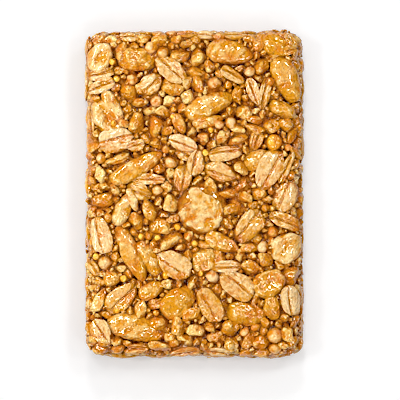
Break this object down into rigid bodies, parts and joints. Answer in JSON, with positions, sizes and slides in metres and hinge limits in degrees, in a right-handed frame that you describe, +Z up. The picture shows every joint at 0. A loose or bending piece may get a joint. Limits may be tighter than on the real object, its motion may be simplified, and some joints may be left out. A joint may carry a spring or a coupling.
{
  "type": "granola bar",
  "caption": "Pressed granola bar: peanut halves, rolled oat flakes, cereal crisps, sorghum grains and millet seeds set in glossy caramel syrup, with softly rounded corners and a flat underside.",
  "frame": {"origin": "centre of the flat underside", "axes": "+Y along the bar's length, +X across its width, +Z up through its thickness"},
  "size_m": [0.0576, 0.086, 0.015],
  "materials": {
    "bar": "pressed cereal and nuts in caramel syrup",
    "syrup": "clear amber caramel, dark where it lies deep",
    "peanut": "roasted, smooth, thinly glazed",
    "oat": "toasted flake with a crease, thinly glazed",
    "crisp": "lumpy toasted nugget, glazed",
    "sorghum": "smooth round grain, glazed",
    "millet": "smooth yellow seed, glazed"
  },
  "bodies": {
    "root": {"bar": "bar"}
  },
  "joints": []
}
